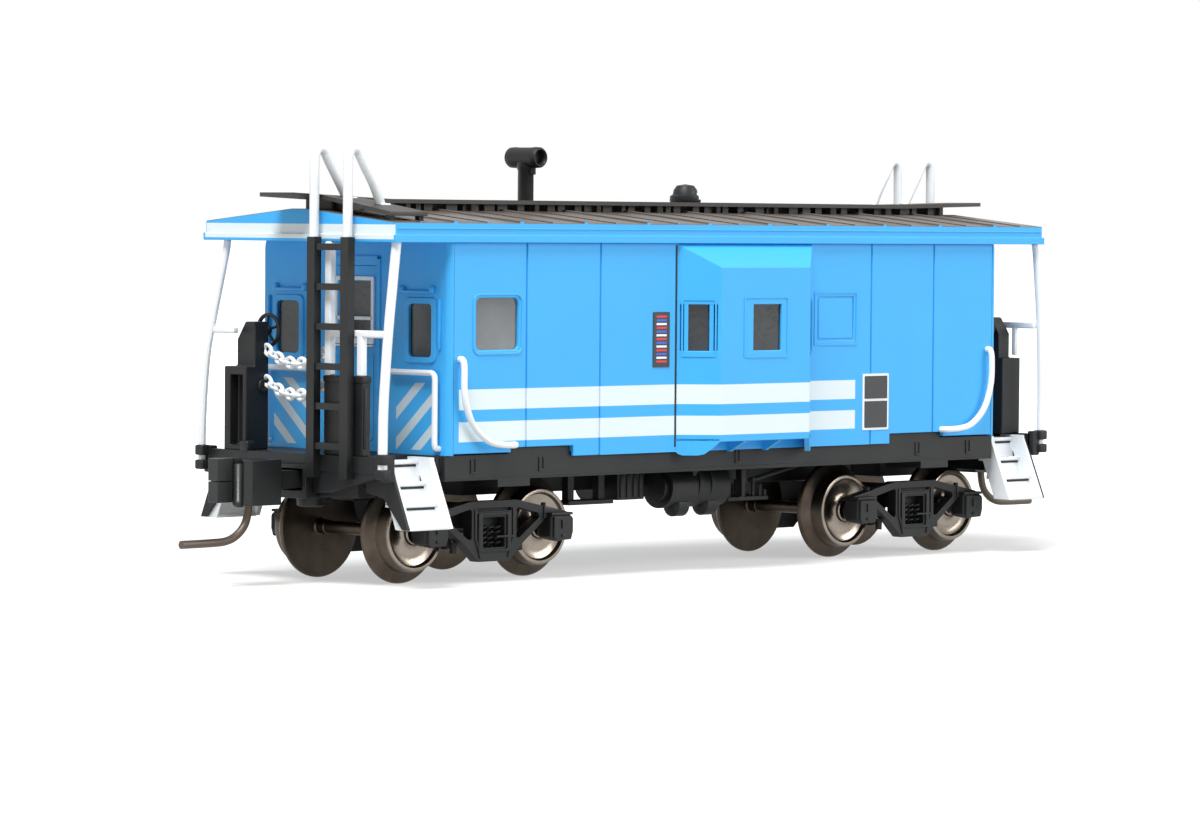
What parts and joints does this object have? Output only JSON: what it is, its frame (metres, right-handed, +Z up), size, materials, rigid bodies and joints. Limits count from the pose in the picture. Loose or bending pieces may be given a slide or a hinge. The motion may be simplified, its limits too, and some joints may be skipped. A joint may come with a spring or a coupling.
{
  "type": "model railway bay window caboose",
  "caption": "Small-scale model of a blue bay window caboose with end platforms, ladders, running board, swivelling trucks and knuckle couplers.",
  "frame": {"origin": "middle of the car at the height of the flange bottoms, which is the floor it stands on", "axes": "+X along the car to its rear platform, +Y to the right side of the car when facing its front platform, +Z up"},
  "size_m": [0.0858, 0.0224, 0.0294],
  "materials": {
    "blue_plastic": "smooth moulded plastic, satin",
    "black_plastic": "moulded plastic, matt black",
    "roof_grey": "matt dark grey paint on plastic",
    "walk_grey": "matt worn dark grey plastic",
    "white_plastic": "matt white paint on plastic",
    "dark_glazing": "clear plastic strip over a dark inside",
    "weight_steel": "plain steel bar",
    "wheel_brown": "browned metal wheels",
    "wire_brown": "browned wire",
    "pin_black": "moulded plastic, matt black"
  },
  "bodies": {
    "car": {"underframe": "black_plastic", "side_wall_left": "blue_plastic", "side_wall_right": "blue_plastic", "end_wall_front": "blue_plastic", "end_wall_rear": "blue_plastic", "bay_left": "blue_plastic", "bay_right": "blue_plastic", "door_front": "blue_plastic", "door_rear": "blue_plastic", "glazing": "dark_glazing", "roof": "roof_grey", "running_board": "walk_grey", "smokestack": "black_plastic", "roof_vent": "black_plastic", "weight": "weight_steel", "steps_front_left": "white_plastic", "steps_front_right": "white_plastic", "steps_rear_left": "white_plastic", "steps_rear_right": "white_plastic", "ladder_front": "black_plastic", "ladder_rear": "black_plastic", "ladder_top_front": "white_plastic", "ladder_top_rear": "white_plastic", "end_rail_front": "white_plastic", "end_rail_rear": "white_plastic", "brake_stand_front": "black_plastic", "brake_stand_rear": "black_plastic", "brake_wheel_front": "black_plastic", "brake_wheel_rear": "black_plastic", "platform_box_front": "black_plastic", "platform_box_rear": "black_plastic", "chains_front": "white_plastic", "chains_rear": "white_plastic", "grab_irons_front": "white_plastic", "grab_irons_rear": "white_plastic", "air_reservoir": "black_plastic", "brake_cylinder": "black_plastic", "control_valve": "black_plastic", "brake_rigging": "black_plastic", "coupler_box_front": "black_plastic", "coupler_box_rear": "black_plastic", "truck_pin_front": "pin_black", "truck_pin_rear": "pin_black"},
    "truck_front": {"truck_frame_front": "black_plastic"},
    "truck_rear": {"truck_frame_rear": "black_plastic"},
    "coupler_front_body": {"coupler_front": "black_plastic", "trip_pin_front": "wire_brown"},
    "coupler_rear_body": {"coupler_rear": "black_plastic", "trip_pin_rear": "wire_brown"},
    "wheelset_1": {"wheelset_1": "wheel_brown"},
    "wheelset_2": {"wheelset_2": "wheel_brown"},
    "wheelset_3": {"wheelset_3": "wheel_brown"},
    "wheelset_4": {"wheelset_4": "wheel_brown"}
  },
  "joints": [
    {"name": "truck_front_swivel", "type": "hinge", "parent": "car", "child": "truck_front", "pos_m": [-0.0214, 0, 0.005], "axis": [0, 0, 1], "range_deg": [-12, 12]},
    {"name": "truck_rear_swivel", "type": "hinge", "parent": "car", "child": "truck_rear", "pos_m": [0.0214, 0, 0.005], "axis": [0, 0, 1], "range_deg": [-12, 12]},
    {"name": "wheelset_1_spin", "type": "hinge", "parent": "truck_front", "child": "wheelset_1", "pos_m": [-0.02725, 0, 0.00345], "axis": [0, 1, 0], "continuous": true},
    {"name": "wheelset_2_spin", "type": "hinge", "parent": "truck_front", "child": "wheelset_2", "pos_m": [-0.01555, 0, 0.00345], "axis": [0, 1, 0], "continuous": true},
    {"name": "wheelset_3_spin", "type": "hinge", "parent": "truck_rear", "child": "wheelset_3", "pos_m": [0.01555, 0, 0.00345], "axis": [0, 1, 0], "continuous": true},
    {"name": "wheelset_4_spin", "type": "hinge", "parent": "truck_rear", "child": "wheelset_4", "pos_m": [0.02725, 0, 0.00345], "axis": [0, 1, 0], "continuous": true},
    {"name": "coupler_front_swing", "type": "hinge", "parent": "car", "child": "coupler_front_body", "pos_m": [-0.031, 0, 0.007], "axis": [0, 0, 1], "range_deg": [-8, 8], "stiffness_Nm_per_rad": 0.002},
    {"name": "coupler_rear_swing", "type": "hinge", "parent": "car", "child": "coupler_rear_body", "pos_m": [0.031, 0, 0.007], "axis": [0, 0, 1], "range_deg": [-8, 8], "stiffness_Nm_per_rad": 0.002}
  ]
}
